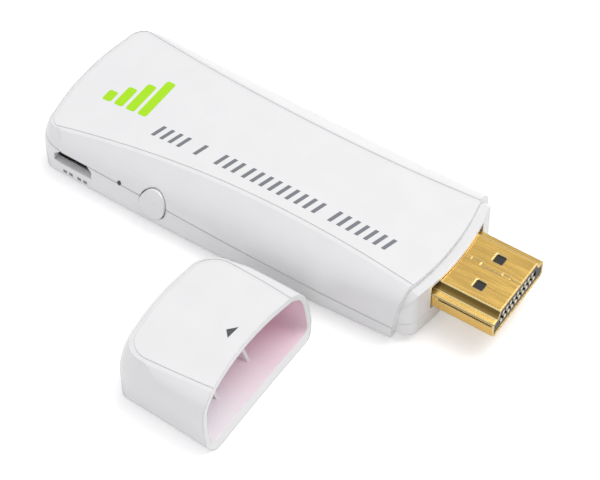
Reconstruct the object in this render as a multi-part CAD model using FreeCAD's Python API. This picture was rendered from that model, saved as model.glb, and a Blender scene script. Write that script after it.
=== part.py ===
import FreeCAD, Part
import math
import os
from FreeCAD import Vector

# HDMI stick computer with its protective cap lying beside it.
# Millimetres. X runs along the stick towards the plug, -Y is the side with
# the charging port, the light and the button, and Z is up. The origin is on
# the flat underside of the stick, halfway along its casing.

# Casing: outer form, shared by the stick and its cap
body_length = 65.3          # rear end to the shoulder that the cap closes on
shoulder_x = 32.3
cap_crease_turn = -160.0    # beyond the shoulder the crease turns back in
cap_side_turn = 150.0       # and the sides straighten
half_width_max = 14.4       # half width where the casing is widest
widest_at = -10.0           # X of that place
side_bow_radius = 600.0     # radius of the gently bowed sides in plan
crest_height = 10.78        # height of the arched top at its crest
crest_at = 10.0             # X of the crest, and of the waist of the top face
arch_radius_rear = 330.0    # the arch falls faster towards the rear
arch_radius_front = 720.0
waist_half_width = 8.6      # half width of the top face at its waist
crease_radius = 208.0       # radius in plan of the crease beside the top face
bottom_corner = 2.5         # rounding between the sides and the underside
side_top_rear = 6.0         # height where the side starts to lean in, at the rear
side_top_front = 8.2        # the same at the shoulder, where the casing is fuller
shoulder_run = 2.65         # length and fall of the face beside the crease
shoulder_fall_rear = 2.4
shoulder_fall_front = 1.3
end_bow_radius = 40.0       # the two ends bow outwards in plan
lean_from = 4.5             # above this height the two ends narrow towards the top face
rear_corner = 5.5           # rounding of the rear end in plan, below that height
rear_top_corner = 3.2       # and at the top face
rear_end_lean = 0.9         # how far the end leans in on the way up
cap_corner = 5.2
cap_top_corner = 4.6
cap_end_lean = 1.1
end_top_round = 0.3
end_bottom_round = 2.4
shell_wall = 1.2
floor_trim = 0.02           # the sections dip this far under the flat underside
beyond = 30.0               # cutting shapes reach this far
joined = 0.2                # pieces of one solid overlap by this much

# Split between the two shells
split_height = 5.15         # at the middle of the length
split_slope = 0.038         # the split rises towards the rear
lip_thickness = 0.5         # tongue of the lower shell inside the upper one
lip_height = 0.9
lip_gap = 0.06
lip_root = 0.3              # the tongue starts this far below the split
lip_stop = 3.0              # and ends this far short of the shoulder
seam_gap = 0.08             # shadow gap along the split, outside
seam_depth = 0.35

# Border groove round the top face
groove_inset = 0.35
groove_width = 0.4
groove_depth = 0.07
groove_corner = 3.0
cap_groove_corner = 4.4

# Shoulder, neck and cap
shoulder_bow = 1.15         # the top edge of the shoulder bows forward
shoulder_lean = 1.2         # the shoulder leans back towards the underside
shoulder_tuck = 0.4         # close to the underside it runs back further
shoulder_tuck_height = 1.3
neck_length = 2.6
neck_edge_round = 0.9
neck_top_round = 0.3
neck_wall = 0.9
neck_corner = 1.7           # plan rounding of the neck's front, beyond its edge rounding
neck_root = 5.0             # the neck starts this far behind the shoulder
neck_hollow_root = 9.0
cap_wall = 0.85             # thickness over the plug
cap_side_extra = 0.2        # the sides and the floor of the cap are thicker
cap_floor_extra = 0.35
cap_fit = 0.10              # running fit of the cap on the neck
cap_length = 17.2
cap_lying_x = 19.6          # where the cap's mouth lies beside the stick
cap_lying_y = -29.9
cap_rib_thickness = 0.6
cap_rib_length = 2.5
cap_rib_sides = (-2.8, 4.9)  # Y of the ribs that stand under the plug
cap_rib_gap = 0.2

# HDMI type A plug
plug_width = 13.9
plug_height = 4.45
plug_chamfer = 0.5          # at the lower corners
plug_side_height = 3.05     # height of the upright sides
plug_shoulder_width = 11.7  # a ledge slants in to this width
plug_shoulder_height = 3.15
plug_narrow_width = 10.4    # width of the top, at the end of the slanted walls
plug_out = 9.5              # length outside the neck
plug_bottom = 4.35          # height of its underside
plug_hole_gap = 0.12
plug_metal = 0.3
plug_edge_round = 0.3
plug_inner_round = 0.08
plug_in = 7.6               # length of the shell behind the neck's face
window_length = 1.5
window_width = 1.5
window_from_tip = 4.85
window_side = 2.76
window_corner = 0.15
window_rim = 0.14           # bevel round a window
slit_height = 2.5
slit_width = 0.4
slit_depth = 0.4            # through the metal, down to the core
slit_ends = (0.4, 0.3)      # distance from the neck and from the tip
fold_width = 0.12           # folded seam along the top
fold_depth = 0.1
fold_points = ((1.3, 0.65), (1.3, 1.0), (2.9, 1.0), (2.9, 0.35), (6.5, 0.35), (6.5, 0.8),
               (7.75, 0.8), (7.75, 0.5), (9.5, 0.5))
contact_pitch = 1.0
contact_width = 0.5
contact_thickness = 0.45
contact_foot = 0.3          # thickness of their feet on the board
tongue_slot_width = 10.2
tongue_slot_height = 1.15
tongue_slot_depth = 6.5
insulator_recess = 0.12
insulator_base = 3.2        # block on the board behind the shell
contact_rows = ((9, 1, 0.9), (10, -1, 0.4))  # how many, upper or lower, reach behind the block
contact_proud = 0.08
contact_out = 0.03          # their ends stand this far out of the core's face
plug_leg_length = 1.4
plug_leg_places = (1.0, 4.2)

# Circuit board
board_thickness = 1.0
board_top = 3.7
board_half_width = 11.6
board_rear_gap = 1.0
board_front = 29.0
board_corner = 4.0
board_nose = 33.0           # a narrower nose carries the plug
board_nose_half_width = 7.8
button_notch_depth = 0.9
post_radius = 1.6
pin_radius = 0.75
pin_gap = 0.05
pin_length = 1.2
pin_room = 0.2
post_places = ((-12.5, 10.0), (-18.4, -9.6), (22.0, 9.4), (19.5, -10.0))

# Push button with its switch
button_at = -9.45
button_height = 5.15
button_diameter = 4.5
button_gap = 0.15
button_proud = 0.3
button_travel = 0.35
button_seat = 11.95         # distance of the button's stop face from the middle
stop_bar = (6.8, 0.6, 2.3)  # length, depth and height of the bar behind the wall
stop_gap = 0.05
stop_bar_lift = 0.2         # the bar clears the board by this much
button_wall = 1.1           # ring of solid wall round the button
button_notch_gap = 0.5
button_stem_radius = 1.0
switch_face = 10.2
switch_size = (4.6, 3.0, 3.4)
switch_frame_metal = 0.2
plunger_size = (2.0, 1.6)
plunger_gap = 0.08
plunger_buried = 0.9
plunger_out = 0.4
plunger_room = 0.1

# Light
light_at = -15.6
light_height = 5.95
light_diameter = 0.6
light_collar = 1.8
light_collar_length = 0.6
light_collar_back = 1.9     # behind the wall
light_collar_gap = 0.3
lamp_size = (1.6, 0.9, 0.65)
lamp_face = 10.2

# Micro-USB port
port_at = -24.1
port_width = 7.5
port_height = 2.5
port_depth = 5.2
port_face = 12.85           # the receptacle stays behind the wall
port_metal = 0.25
port_slant = (1.0, 0.75)    # along and up, at its upper corners
port_opening_inset = 0.27   # the opening is this much smaller all round than the receptacle
port_opening_rise = 0.12
port_opening_over = 1.2     # it is open upwards and closed by the upper shell
port_room_gap = 0.15        # room in the shells round the receptacle
port_room_front = 0.1
port_room_depth = 2.2
port_tongue = (3.9, 3.3, 0.65)
port_base_depth = 1.4
port_contacts = 5
port_contact_pitch = 0.65
port_contact = (0.35, 2.8, 0.12)

# Memory card socket on the far side
card_at = 2.5
card_width = 12.0
card_depth = 11.5
card_height = 1.5
card_face = 12.6
card_metal = 0.2
card_opening_gap = 0.15
card_opening_depth = 1.4
card_floor = 0.35
card_stop = 0.8
card_floor_back = 0.6
card_contacts = 8
card_contact_pitch = 1.1
card_contact = (0.6, 3.2, 0.12)

# Parts on the board: centre x, centre y, length, width, height
processor = (15.6, -2.0, 12.0, 12.0, 1.2)
thermal_pad = (11.0, 11.0, 0.5)
heat_spreader = (15.6, -1.8, 13.6, 12.4, 0.6)
memory_places = ((4.0, -5.6), (-5.4, -3.05))
memory_size = (8.0, 8.0, 1.0)
flash_chip = (8.0, 0.0, 13.0, 11.5, 0.9)
wireless_board = (-21.0, 3.6, 12.0, 12.5, 0.7)
wireless_can = (-21.8, 3.6, 9.4, 11.5, 1.3)
antenna = (-28.9, -3.6, 2.0, 5.2, 1.1)
power_chip = (-17.6, -5.4, 4.0, 4.0, 0.8)
coil_places = ((-12.6, -4.4), (-9.6, 7.4))
coil_size = (2.8, 2.8, 1.4)
crystal = (14.6, 8.4, 3.2, 2.5, 0.8)
capacitor_size = (1.0, 0.5, 0.5)
resistor_size = (1.0, 0.5, 0.35)
# Rows of them: first x, y, pitch, how many
capacitor_rows = ((10.6, 5.2, 2.0, 5), (-25.4, -6.7, 1.4, 4))
capacitor_row_under = (-20.0, -2.0, 1.8, 5)
resistor_row = (12.0, 6.6, 2.4, 4)
resistor_row_under = (-5.4, 9.4, 1.6, 4)


def box(x0, x1, y0, y1, z0, z1):
    return Part.makeBox(x1 - x0, y1 - y0, z1 - z0, Vector(x0, y0, z0))


def slab(x0, x1):
    """Everything between two X."""
    return box(x0, x1, -beyond, beyond, -beyond, beyond)


def block(place, base):
    """A block on the board from its centre and size."""
    x, y, length, width, height = place
    return box(x - length / 2, x + length / 2, y - width / 2, y + width / 2, base, base + height)


def row(place, size, base):
    x, y, pitch, count = place
    return [block((x + pitch * i, y) + size, base) for i in range(count)]


def rod(radius, start, end):
    axis = Vector(*end) - Vector(*start)
    return Part.makeCylinder(radius, axis.Length, Vector(*start), axis)


def prism(points, direction):
    wire = Part.makePolygon([Vector(*p) for p in points] + [Vector(*points[0])])
    return Part.Face(wire).extrude(Vector(*direction))


def fused(shapes):
    first = shapes[0]
    return first.fuse(shapes[1:]).removeSplitter() if len(shapes) > 1 else first


def save(name, *solids):
    shape = solids[0] if len(solids) == 1 else Part.makeCompound(list(solids))
    if shape.ShapeType == "Compound" and len(shape.Solids) == 1:
        shape = shape.Solids[0]
    print(name, len(shape.Solids), round(shape.Volume, 2), shape.isValid())
    shape.exportStep("parts/" + name + ".step")


# Outer form. Distances inwards are given as (side, floor, roof).

rear_x = shoulder_x - body_length
neck_face = shoulder_x + neck_length
cap_end = shoulder_x + cap_length
plug_tip = neck_face + plug_out
plug_top = plug_bottom + plug_height
plug_back = neck_face - plug_in
board_bottom = board_top - board_thickness


def even(amount):
    return (amount, amount, amount)


def cap_inset(amount):
    """The cap's wall, and what fits inside it, is thicker at the sides and the floor."""
    return (amount + cap_side_extra, amount + cap_floor_extra, amount)


def half_width(x):
    past = max(x - shoulder_x, 0.0)
    return half_width_max - (x - widest_at) ** 2 / (2 * side_bow_radius) + past ** 2 / (2 * cap_side_turn)


def crease_half(x):
    past = max(x - shoulder_x, 0.0)
    flare = past ** 2 * (1 / (2 * cap_crease_turn) - 1 / (2 * crease_radius))
    return waist_half_width + (x - crest_at) ** 2 / (2 * crease_radius) + flare


def top_height(x):
    radius = arch_radius_rear if x < crest_at else arch_radius_front
    return crest_height - (x - crest_at) ** 2 / (2 * radius)


def along(rear_value, front_value, x):
    return rear_value + (front_value - rear_value) * (x - rear_x) / body_length


def side_poles(x, inset):
    """Curve of the side from the bottom corner up to the crease."""
    side, floor, roof = inset
    fall = along(shoulder_fall_rear, shoulder_fall_front, x)
    lean = math.atan2(fall, shoulder_run)
    side_y = half_width(x) - side
    round_up = max(bottom_corner - floor, 0.3)
    side_top = along(side_top_rear, side_top_front, x) - side * 0.5
    near_crease_y = min(crease_half(x) + shoulder_run - roof * math.sin(lean), side_y - 0.2)
    near_crease_z = top_height(x) - fall - roof * math.cos(lean)
    crease_y = min(crease_half(x) - roof * math.tan(lean / 2), near_crease_y - 0.1)
    crease_z = top_height(x) - roof
    return [(side_y, floor + round_up), (side_y, side_top), (near_crease_y, near_crease_z),
            (crease_y, crease_z)]


def bezier(points):
    curve = Part.BezierCurve()
    curve.setPoles([Vector(*p) for p in points])
    return curve.toShape()


def section(x, inset):
    floor = inset[1]
    poles = side_poles(x, inset)
    side_y, corner_z = poles[0]
    round_up = corner_z - floor
    flat_y = side_y - round_up
    soft = 0.45 * round_up
    corner = [(flat_y, floor), (side_y - soft, floor), (side_y, floor + soft), (side_y, corner_z)]

    def edge(points, hand):
        placed = [(x, hand * y, z) for y, z in points]
        return bezier(placed if hand > 0 else placed[::-1])

    edges = [
        Part.makeLine(Vector(x, -flat_y, floor), Vector(x, flat_y, floor)),
        edge(corner, 1),
        edge(poles, 1),
        Part.makeLine(Vector(x, poles[3][0], poles[3][1]), Vector(x, -poles[3][0], poles[3][1])),
        edge(poles, -1),
        edge(corner, -1),
    ]
    return Part.Wire(edges)


def long_form(inset):
    """The casing's section carried past both ends."""
    first = rear_x - 2.0
    last = cap_end + 2.0
    count = 8
    stations = [first + (last - first) * i / (count - 1) for i in range(count)]
    return Part.makeLoft([section(x, inset) for x in stations], True)


def end_points(end, inset, z):
    """Corner start, corner middle, corner stop and tip of an end in plan, on the +Y side."""
    side, floor, roof = inset
    x_end, outwards, corner, top_corner, lean, narrows, bottom_round, top_round = end
    crease_x = x_end - outwards * lean
    crease_z = top_height(crease_x) - roof
    rise = (z - lean_from) / (crease_z - lean_from)
    share = 0.0
    if rise > 0:
        share = rise ** 2 if rise < 1 else 2 * rise - 1
    radius = max(corner + (top_corner - corner) * share - side, 0.8)
    tip_x = x_end - outwards * lean * share
    wide = half_width(x_end - outwards * radius) - side
    half = wide - narrows * share * (wide - crease_half(crease_x - outwards * top_corner) + side - 0.1)
    bow = end_bow_radius - math.sqrt(end_bow_radius ** 2 - (half - radius) ** 2)
    flank_x = tip_x - outwards * bow
    centre_x = flank_x - outwards * radius
    diagonal = radius * math.sqrt(0.5)
    start = Vector(centre_x, half, z)
    middle = Vector(centre_x + outwards * diagonal, half - radius + diagonal, z)
    stop = Vector(flank_x, half - radius, z)
    return start, middle, stop, Vector(tip_x, 0, z)


def other_side(point):
    return Vector(point.x, -point.y, point.z)


def plan_outline(rear, front, inset, z):
    """Bowed, rounded ends in plan; the sides run clear of the casing."""
    a, b, c, front_tip = end_points(front, inset, z)
    d, e, f, rear_tip = end_points(rear, inset, z)
    out = Vector((shoulder_x + rear_x) / 2, half_width_max + 6.0, z)
    edges = [
        Part.Arc(other_side(a), other_side(b), other_side(c)).toShape(),
        Part.Arc(other_side(c), front_tip, c).toShape(),
        Part.Arc(c, b, a).toShape(),
        Part.makeLine(a, out),
        Part.makeLine(out, d),
        Part.Arc(d, e, f).toShape(),
        Part.Arc(f, rear_tip, other_side(f)).toShape(),
        Part.Arc(other_side(f), other_side(e), other_side(d)).toShape(),
        Part.makeLine(other_side(d), other_side(out)),
        Part.makeLine(other_side(out), other_side(a)),
    ]
    return Part.Wire(edges)


def profile_edges(end, inset, reach, high):
    """Side view of one end that rounds it at the floor and at the top."""
    x_end, outwards, corner, top_corner, lean, narrows, bottom_round, top_round = end
    floor, roof = inset[1], inset[2]
    radius = max(bottom_round - floor, 0.3)
    k = math.sqrt(0.5)
    crease_x = x_end - outwards * lean
    crease_z = top_height(crease_x) - roof
    inner_x = crease_x - outwards * top_round
    inner_z = top_height(inner_x) - roof + 0.02

    def at(x, z):
        return Vector(x, -reach, z)

    low = at(x_end - outwards * radius, floor)
    diagonal = at(x_end - outwards * radius * (1 - k), floor + radius * (1 - k))
    up = at(x_end, floor + radius)
    brim = at(x_end, crease_z - top_round)
    inner = at(inner_x, inner_z)
    last = at(inner_x - outwards * 1.5, high)
    edges = [Part.Arc(low, diagonal, up).toShape(), Part.makeLine(up, brim)]
    if lean == 0:
        edges.append(bezier([brim, at(x_end, inner_z - 0.02), inner]))
    else:
        near_brim = at(crease_x + outwards * 0.1, crease_z - top_round)
        edges.append(Part.makeLine(brim, near_brim))
        edges.append(bezier([near_brim, at(crease_x, inner_z - 0.02), inner]))
    edges.append(Part.makeLine(inner, last))
    return edges, low, last


def casing_form(inset, rear, front):
    """The casing between two ends, with its surfaces moved inwards by inset."""
    side, floor, roof = inset
    lowest = -1.0
    highest = crest_height + 1.0
    count = 13
    levels = [lowest + (highest - lowest) * i / (count - 1) for i in range(count)]
    plan = Part.makeLoft([plan_outline(rear, front, inset, z) for z in levels], True, False, False, 3)
    reach = half_width_max + 8.0
    front_edges, front_low, front_last = profile_edges(front, inset, reach, highest)
    rear_edges, rear_low, rear_last = profile_edges(rear, inset, reach, highest)
    edges = (front_edges + [Part.makeLine(front_last, rear_last)] + rear_edges[::-1]
             + [Part.makeLine(rear_low, front_low)])
    profile = Part.Face(Part.Wire(edges)).extrude(Vector(0, 2 * reach, 0))
    return long_form((side, floor - floor_trim, roof)).common(plan).common(profile)


def rear_end(inward):
    return (rear_x + inward, -1, rear_corner, rear_top_corner, rear_end_lean, 1, end_bottom_round,
            end_top_round)


def closed_end(inward):
    return (cap_end - inward, 1, cap_corner, cap_top_corner, cap_end_lean, 1, end_bottom_round,
            end_top_round)


def neck_end(inward, side):
    corner = neck_edge_round + neck_corner + side
    return (neck_face - inward, 1, corner, corner, 0.0, 0, neck_edge_round + side, neck_top_round)


def shoulder_cutter(far):
    """Everything from the shoulder surface to far; the surface leans and its top edge bows."""
    low = -2.0
    high = crest_height + 3.0
    half = crease_half(shoulder_x)
    reach = half_width_max + 4.0
    top = top_height(shoulder_x)

    def level(z, tuck):
        share = z / top
        x_side = shoulder_x - shoulder_lean * (1 - share) - tuck
        x_middle = x_side + max(shoulder_bow * share, 0.02)
        corners = [Vector(x_side, half, z), Vector(x_side, reach, z), Vector(far, reach, z),
                   Vector(far, -reach, z), Vector(x_side, -reach, z), Vector(x_side, -half, z)]
        lines = [Part.makeLine(p, q) for p, q in zip(corners, corners[1:])]
        return Part.Wire([Part.Arc(corners[-1], Vector(x_middle, 0, z), corners[0]).toShape()] + lines)

    slope = shoulder_tuck / shoulder_tuck_height
    return Part.makeLoft([level(low, shoulder_tuck - slope * low), level(shoulder_tuck_height, 0.0),
                          level(high, 0.0)], True, True)


def split_slab(bottom_shift, top_shift):
    """The space between two planes parallel to the split."""
    reach = body_length
    wide = half_width_max + 5.0

    def z(x, shift):
        return split_height - split_slope * x + shift

    points = [(-reach, -wide, z(-reach, bottom_shift)), (reach, -wide, z(reach, bottom_shift)),
              (reach, -wide, z(reach, top_shift)), (-reach, -wide, z(-reach, top_shift))]
    return prism(points, (0, 2 * wide, 0))


def groove_plan(end_x, outwards, corner, open_x, inset):
    """Area inside the border of a top face, open beyond open_x."""
    line_x = end_x - outwards * inset
    start_x = line_x - outwards * corner
    count = 9
    near = []
    for i in range(count):
        x = start_x + (open_x - start_x) * i / (count - 1)
        near.append(Vector(x, -(crease_half(x) - inset), 0))
    far = [other_side(p) for p in near[::-1]]
    near_curve = Part.BSplineCurve()
    near_curve.interpolate(near)
    far_curve = Part.BSplineCurve()
    far_curve.interpolate(far)
    start = near[0]
    flank_y = start.y + corner
    bow = end_bow_radius - math.sqrt(end_bow_radius ** 2 - flank_y ** 2)
    flank = Vector(line_x - outwards * bow, flank_y, 0)
    rest = 1 - math.sqrt(0.5)
    middle = Vector(flank.x + (start.x - flank.x) * rest, start.y + corner * rest, 0)
    edges = [
        Part.Arc(flank, middle, start).toShape(),
        near_curve.toShape(),
        Part.makeLine(near[-1], far[0]),
        far_curve.toShape(),
        Part.Arc(other_side(start), other_side(middle), other_side(flank)).toShape(),
        Part.Arc(other_side(flank), Vector(line_x, 0, 0), flank).toShape(),
    ]
    return Part.Face(Part.Wire(edges)).extrude(Vector(0, 0, crest_height + 2))


def top_groove(end_x, outwards, corner, open_x):
    """Ring cut that follows the border of a top face."""
    ring = groove_plan(end_x, outwards, corner, open_x, groove_inset)
    inner = groove_inset + groove_width
    ring = ring.cut(groove_plan(end_x, outwards, corner - groove_width, open_x, inner))
    lowered = long_form(even(0.0))
    lowered.translate(Vector(0, 0, -groove_depth))
    return ring.cut(lowered)


outer = casing_form(even(0.0), rear_end(0.0), closed_end(0.0))
ahead = shoulder_cutter(cap_end + 5.0)
body_outer = outer.cut(ahead)

neck_inset = cap_inset(cap_wall + cap_fit)
neck_outer = casing_form(neck_inset, rear_end(neck_inset[0]), neck_end(0.0, neck_inset[0]))
neck_outer = neck_outer.common(slab(shoulder_x - neck_root, neck_face + 1))

shell_inset = even(shell_wall)
cavity_back = casing_form(shell_inset, rear_end(shell_wall), closed_end(0.0))
shoulder_foot = shoulder_x - shoulder_lean - shoulder_tuck
cavity_back = cavity_back.common(slab(rear_x, shoulder_foot - shell_wall))
neck_hollow = tuple(value + neck_wall for value in neck_inset)
cavity_neck = casing_form(neck_hollow, rear_end(neck_hollow[0]), neck_end(neck_wall, neck_hollow[0]))
cavity_neck = cavity_neck.common(slab(shoulder_x - neck_hollow_root, neck_face))

# Openings through the casing


def plug_outline(x, grow):
    """Outline of the plug: wide below, narrow above."""
    wide = plug_width / 2 + grow
    shoulder = plug_shoulder_width / 2 + grow
    narrow = plug_narrow_width / 2 + grow
    low = plug_bottom - grow
    raised = plug_bottom + grow
    half = [(wide - plug_chamfer, low), (wide, low + plug_chamfer), (wide, raised + plug_side_height),
            (shoulder, raised + plug_shoulder_height), (narrow, plug_top + grow)]
    points = [(x, y, z) for y, z in half] + [(x, -y, z) for y, z in reversed(half)]
    return points


def plug_solid(x0, x1, grow, edge_round):
    solid = prism(plug_outline(x0, grow), (x1 - x0, 0, 0))
    long_edges = [e for e in solid.Edges if abs(e.Vertexes[0].X - e.Vertexes[1].X) > 1]
    return solid.makeFillet(edge_round, long_edges)


plug_hole = box(plug_back - plug_hole_gap, neck_face + 1.0, -plug_width / 2 - plug_hole_gap,
                plug_width / 2 + plug_hole_gap, plug_bottom - plug_hole_gap, plug_top + plug_hole_gap)
port_top = board_top + port_height


def port_outline(y, grow):
    """Outline of the charging port; its upper corners slant."""
    half = port_width / 2 + grow
    low = board_top - grow
    top = port_top + grow
    along_slant, up_slant = port_slant
    return [(port_at - half, y, low), (port_at + half, y, low), (port_at + half, y, top - up_slant),
            (port_at + half - along_slant, y, top), (port_at - half + along_slant, y, top),
            (port_at - half, y, top - up_slant)]


port_hole = prism(port_outline(-half_width_max - 2, -port_opening_inset),
                  (0, half_width_max + 2 - port_face, 0))
port_hole.translate(Vector(0, 0, port_opening_rise))
port_open_half = port_width / 2 - port_opening_inset - port_slant[0]
port_hole = port_hole.fuse(box(port_at - port_open_half, port_at + port_open_half, -half_width_max - 2,
                               -port_face, port_top - port_height / 2, port_top + port_opening_over))
port_room = box(port_at - port_width / 2 - port_room_gap, port_at + port_width / 2 + port_room_gap,
                -port_face - port_room_front, -port_face + port_room_depth, board_top - port_room_gap,
                port_top + port_room_gap)
card_hole = box(card_at - card_width / 2 - card_opening_gap, card_at + card_width / 2 + card_opening_gap,
                card_face - card_opening_depth, half_width_max + 2, board_top - card_opening_gap,
                board_top + card_height + card_opening_gap)
light_hole = rod(light_diameter / 2 + pin_gap, (light_at, -half_width_max - 2, light_height),
                 (light_at, -lamp_face, light_height))
button_hole = rod(button_diameter / 2 + button_gap, (button_at, -half_width_max - 2, button_height),
                  (button_at, -button_seat + 1, button_height))
button_pad = rod(button_diameter / 2 + button_gap + button_wall, (button_at, -half_width_max, button_height),
                 (button_at, -button_seat, button_height)).common(body_outer)
wall_holes = [plug_hole, port_room, card_hole, light_hole, button_hole]


groove = top_groove(rear_x + rear_end_lean, -1, groove_corner, shoulder_x + 8.0)
body_form = body_outer.fuse(neck_outer).cut(groove)
inside = cavity_back.fuse(cavity_neck)
upper_space = split_slab(0.0, beyond)
lower_space = split_slab(-beyond, 0.0)
seam = body_outer.cut(casing_form(even(seam_depth), rear_end(seam_depth), closed_end(0.0)))
seam = seam.common(split_slab(0.0, seam_gap))


def post_bottom(x, y):
    return rod(post_radius, (x, y, shell_wall - joined), (x, y, board_bottom))


def post_pin(x, y):
    return rod(pin_radius, (x, y, board_bottom - joined), (x, y, board_top + pin_length))


def post_top(x, y):
    post = rod(post_radius, (x, y, board_top), (x, y, crest_height)).common(body_form)
    bore_top = board_top + pin_length + pin_room
    return post.cut(rod(pin_radius + pin_gap, (x, y, board_top - 1), (x, y, bore_top)))


def make_shells():
    hollow = body_form.cut(inside).fuse(button_pad).cut(wall_holes)
    lip_out = shell_wall - lip_thickness
    room_out = lip_out - lip_gap
    lip_form = casing_form(even(lip_out), rear_end(lip_out), closed_end(0.0))
    room_form = casing_form(even(room_out), rear_end(room_out), closed_end(0.0))
    lip_reach = slab(rear_x, shoulder_foot - lip_stop)
    lip = lip_form.cut(cavity_back).common(split_slab(-lip_root, lip_height)).common(lip_reach)
    collar_room = rod(light_collar / 2 + light_collar_gap, (light_at, -half_width_max, light_height),
                      (light_at, -lamp_face, light_height))
    lip = lip.cut([button_pad, button_hole, port_hole, port_room, card_hole, light_hole, collar_room])
    lip_room = room_form.common(split_slab(-lip_gap, lip_height + lip_gap)).common(lip_reach)
    lip_room = lip_room.cut(button_pad)
    upper = hollow.common(upper_space).cut([lip_room, seam])
    upper = upper.fuse([post_top(x, y) for x, y in post_places])
    posts = [post_bottom(x, y) for x, y in post_places] + [post_pin(x, y) for x, y in post_places]
    lower = hollow.common(lower_space).cut(port_hole).fuse([lip] + posts)
    save("top_shell", upper.removeSplitter())
    save("bottom_shell", lower.removeSplitter())


def lay_down(shape):
    """Turn a cap piece round and lay it beside the stick, its mouth towards the plug's side."""
    laid = shape.copy()
    laid.rotate(Vector(0, 0, 0), Vector(0, 0, 1), 180)
    laid.translate(Vector(cap_lying_x + shoulder_x, cap_lying_y, 0))
    return laid


def make_cap():
    ring = top_groove(cap_end - cap_end_lean, 1, cap_groove_corner, shoulder_x - 8.0)
    cap_outer = outer.common(ahead).cut(ring)
    wall = cap_inset(cap_wall)
    cap_inner = casing_form(wall, rear_end(wall[0]), closed_end(wall[0]))
    cap_inner = cap_inner.common(slab(rear_x, cap_end))
    shell = cap_outer.cut(cap_inner)
    rib_start = neck_face + cap_rib_gap
    rib_top = plug_bottom - cap_rib_gap
    ribs = []
    for y in cap_rib_sides:
        base = wall[1] - joined
        points = [(rib_start, y - cap_rib_thickness / 2, base),
                  (rib_start + cap_rib_length, y - cap_rib_thickness / 2, base),
                  (rib_start + cap_rib_length * 0.6, y - cap_rib_thickness / 2, rib_top)]
        ribs.append(prism(points, (0, cap_rib_thickness, 0)))
    save("cap", lay_down(shell.fuse(ribs).removeSplitter()))


def make_board():
    rear = rear_x + shell_wall + board_rear_gap
    board = box(rear, board_front, -board_half_width, board_half_width, board_bottom, board_top)
    rear_edges = [e for e in board.Edges if abs(e.Vertexes[0].Z - e.Vertexes[1].Z) > 0.5
                  and e.Vertexes[0].X < rear + 0.1]
    board = board.makeFillet(board_corner, rear_edges)
    nose = box(board_front - 1.0, board_nose, -board_nose_half_width, board_nose_half_width,
               board_bottom, board_top)
    board = board.fuse(nose).removeSplitter()
    notch = stop_bar[0] / 2 + button_notch_gap
    board = board.cut(box(button_at - notch, button_at + notch, -board_half_width - 1,
                          -board_half_width + button_notch_depth, 0, crest_height))
    holes = [rod(pin_radius + pin_gap, (x, y, 0), (x, y, crest_height)) for x, y in post_places]
    save("circuit_board", board.cut(holes))


def on_rim(edge, window_x):
    """Whether an edge of the plug's shell runs round a window, outside."""
    bounds = edge.BoundBox
    flat = bounds.ZLength < 0.001
    level = abs(bounds.ZMin - plug_top) < 0.001 or abs(bounds.ZMin - plug_bottom) < 0.001
    return (flat and level and bounds.XMin > window_x - window_length
            and bounds.XMax < window_x + window_length and bounds.YLength < window_width)


def make_plug():
    back = plug_back
    shell = plug_solid(back, plug_tip, 0.0, plug_edge_round)
    shell = shell.cut(plug_solid(back - 1, plug_tip + 1, -plug_metal, plug_inner_round))
    window_x = plug_tip - window_from_tip
    cuts = []
    for side in (-1, 1):
        window = box(window_x - window_length / 2, window_x + window_length / 2,
                     side * window_side - window_width / 2, side * window_side + window_width / 2,
                     plug_bottom - 1, plug_top + 1)
        corners = [e for e in window.Edges if abs(e.Vertexes[0].Z - e.Vertexes[1].Z) > 1]
        cuts.append(window.makeFillet(window_corner, corners))
        edge = side * plug_width / 2
        inner = edge - side * slit_depth
        outer_y = edge + side
        cuts.append(box(neck_face + slit_ends[0], plug_tip - slit_ends[1], min(inner, outer_y),
                        max(inner, outer_y), plug_bottom + slit_height - slit_width / 2,
                        plug_bottom + slit_height + slit_width / 2))
    shell = shell.cut(cuts)
    rims = [e for e in shell.Edges if on_rim(e, window_x)]
    shell = shell.makeChamfer(window_rim, rims)
    half = fold_width / 2
    for (x0, y0), (x1, y1) in zip(fold_points, fold_points[1:]):
        shell = shell.cut(box(neck_face + min(x0, x1) - half, neck_face + max(x0, x1) + half,
                              min(y0, y1) - half, max(y0, y1) + half, plug_top - fold_depth, plug_top + 1))
    legs = []
    for side in (-1, 1):
        for place in plug_leg_places:
            outside = side * plug_width / 2
            inside_y = outside - side * plug_metal
            legs.append(box(back + place, back + place + plug_leg_length, min(inside_y, outside),
                            max(inside_y, outside), board_top, plug_bottom + 0.8))
    shell = fused([shell] + legs)

    insulator = plug_solid(back - 3 * joined, plug_tip - insulator_recess, -plug_metal, plug_inner_round)
    base = box(back - insulator_base, back - 0.02, -plug_width / 2 + plug_metal, plug_width / 2 - plug_metal,
               board_top, plug_top - plug_metal)
    insulator = fused([insulator, base])
    slot_middle = plug_bottom + plug_height / 2
    slot = box(plug_tip - insulator_recess - tongue_slot_depth, plug_tip, -tongue_slot_width / 2,
               tongue_slot_width / 2, slot_middle - tongue_slot_height / 2,
               slot_middle + tongue_slot_height / 2)
    insulator = insulator.cut(slot)
    contacts = []
    for count, level, reach in contact_rows:
        z = slot_middle + level * (tongue_slot_height / 2)
        face = z - level * contact_proud
        z0 = min(face, face + level * contact_thickness)
        for i in range(count):
            y = (i - (count - 1) / 2) * contact_pitch
            tail = back - insulator_base - reach
            run = box(tail, plug_tip - insulator_recess + contact_out, y - contact_width / 2,
                      y + contact_width / 2, z0, z0 + contact_thickness)
            drop = box(tail, tail + contact_foot, y - contact_width / 2, y + contact_width / 2,
                       board_top, z0 + contact_thickness)
            contacts.append(fused([run, drop]))
    insulator = insulator.cut(contacts)
    save("hdmi_shell", shell)
    save("hdmi_insulator", insulator)
    save("hdmi_contacts", *contacts)


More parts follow.
